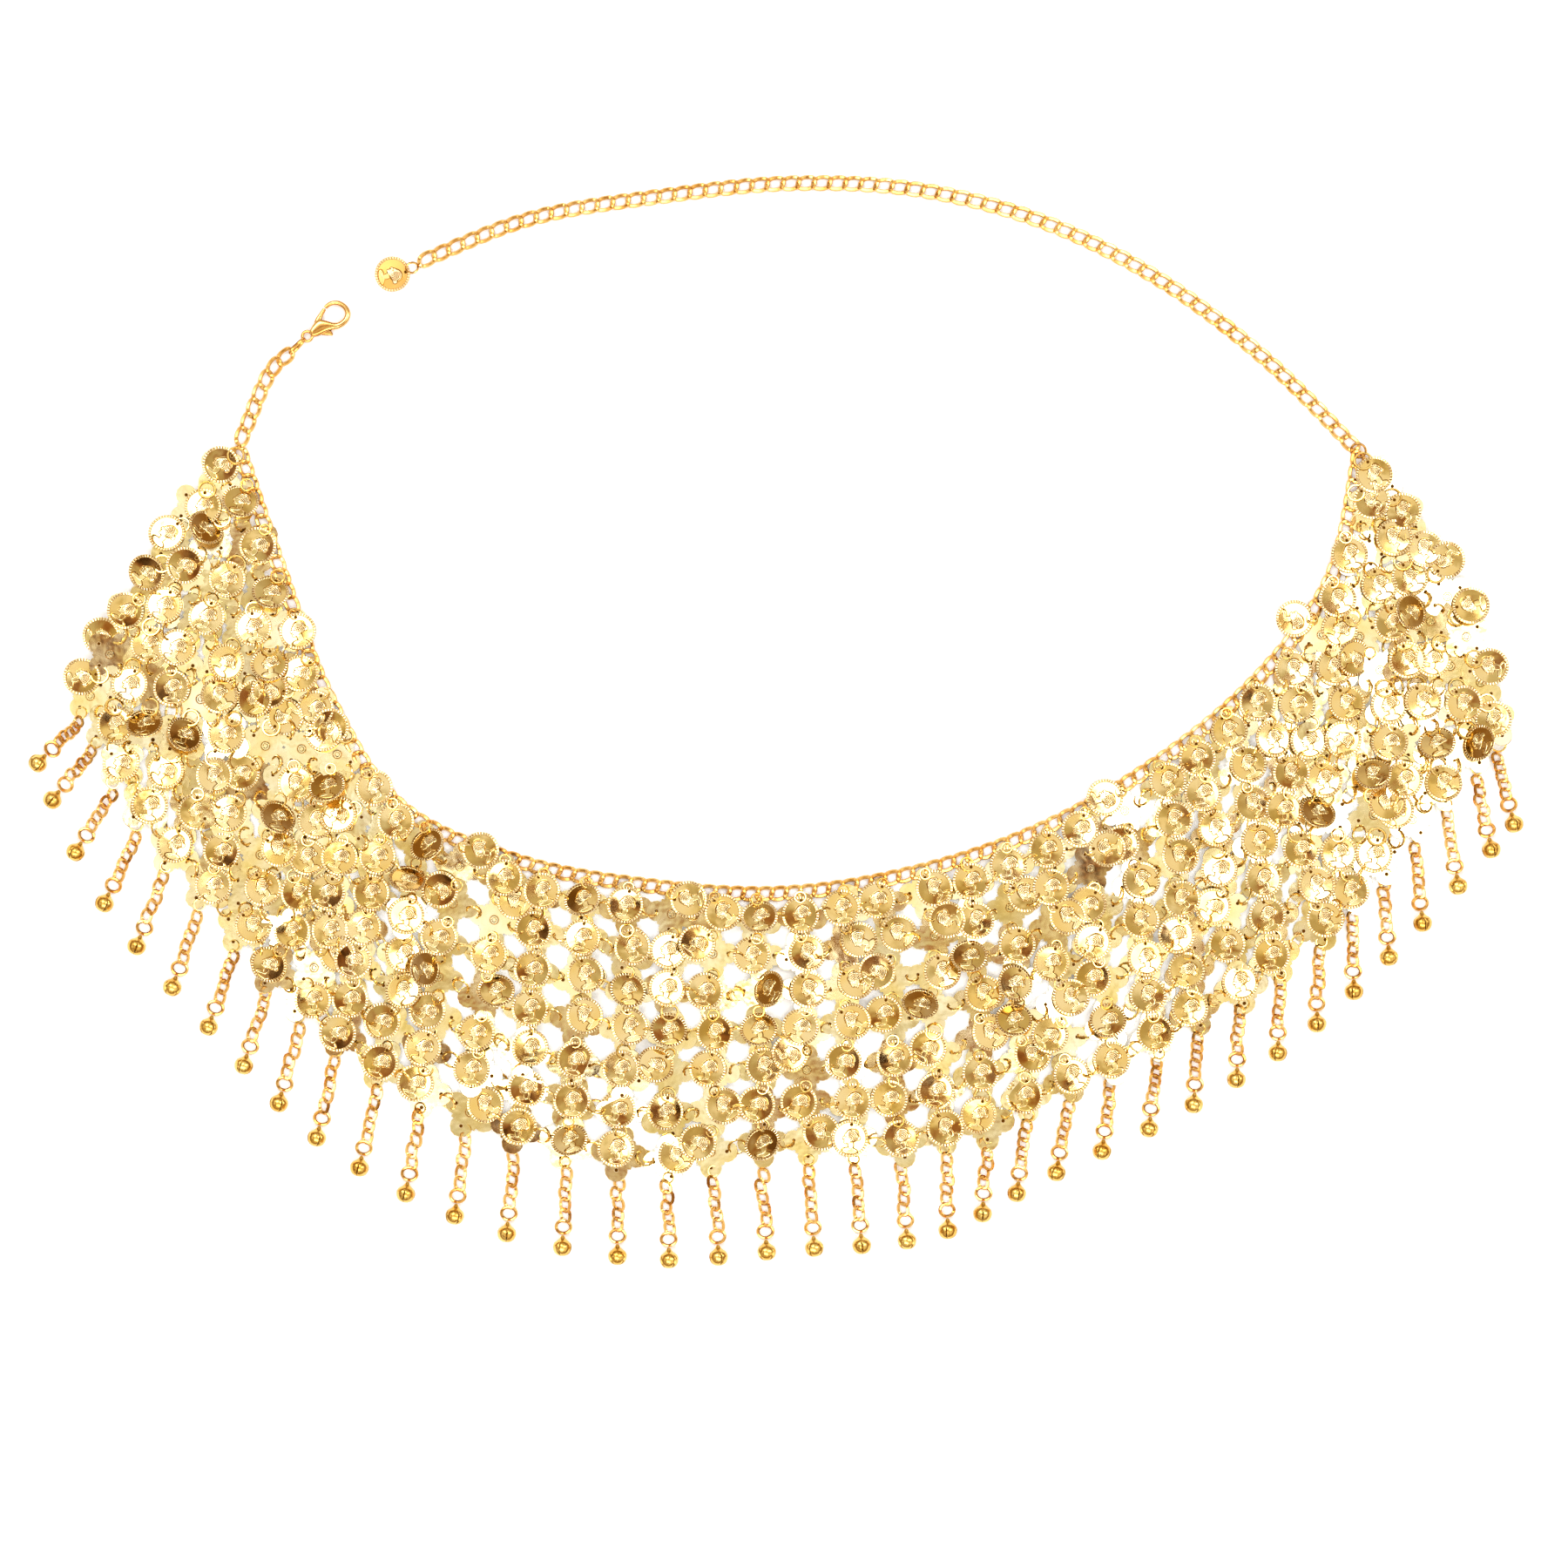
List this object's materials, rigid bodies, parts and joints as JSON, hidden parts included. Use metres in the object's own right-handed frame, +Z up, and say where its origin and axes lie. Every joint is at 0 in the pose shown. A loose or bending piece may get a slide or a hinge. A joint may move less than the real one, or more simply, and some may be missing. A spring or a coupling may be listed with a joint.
{
  "type": "waist chain",
  "caption": "Coin waist chain laid flat: a curb chain carrying a net of star plates and coins with a fringe of bell drops, an extender chain, an end tag and a lobster clasp.",
  "frame": {"origin": "middle of the box that the laid out chain fills, on the surface that it lies on", "axes": "+X along its longest extent, +Y from the bell fringe towards the extender chain, +Z up from the surface"},
  "size_m": [0.5828, 0.4266, 0.0078],
  "materials": {
    "curb_chain": "polished gold plate",
    "coin_net": "bright gold plate",
    "bell": "polished gold plate",
    "clasp": "polished gold plate"
  },
  "bodies": {
    "chain": {"net_row_1": "coin_net", "net_row_2": "coin_net", "net_row_3": "coin_net", "net_row_4": "coin_net", "net_row_5": "coin_net", "net_row_6": "coin_net", "net_row_7": "coin_net", "waist_chain": "curb_chain", "extender_chain": "curb_chain", "clasp_chain": "curb_chain", "end_ring": "curb_chain", "bell_drop_01": "bell", "bell_drop_02": "bell", "bell_drop_03": "bell", "bell_drop_04": "bell", "bell_drop_05": "bell", "bell_drop_06": "bell", "bell_drop_07": "bell", "bell_drop_08": "bell", "bell_drop_09": "bell", "bell_drop_10": "bell", "bell_drop_11": "bell", "bell_drop_12": "bell", "bell_drop_13": "bell", "bell_drop_14": "bell", "bell_drop_15": "bell", "bell_drop_16": "bell", "bell_drop_17": "bell", "bell_drop_18": "bell", "bell_drop_19": "bell", "bell_drop_20": "bell", "bell_drop_21": "bell", "bell_drop_22": "bell", "bell_drop_23": "bell", "bell_drop_24": "bell", "bell_drop_25": "bell", "bell_drop_26": "bell", "bell_drop_27": "bell", "bell_drop_28": "bell", "bell_drop_29": "bell", "bell_drop_30": "bell", "bell_drop_31": "bell", "bell_drop_32": "bell", "bell_drop_33": "bell", "bell_drop_34": "bell", "bell_drop_35": "bell", "bell_drop_36": "bell", "bell_drop_37": "bell", "bell_drop_38": "bell", "end_coin": "coin_net", "clasp_body": "clasp"},
    "trigger": {"clasp_trigger": "clasp"}
  },
  "joints": [
    {"name": "clasp_open", "type": "hinge", "parent": "chain", "child": "trigger", "pos_m": [-0.17904, 0.1539, 0.0017], "axis": [0, 0, -1], "range_deg": [0, 22], "stiffness_Nm_per_rad": 0.004, "springref_deg": -11.46}
  ]
}
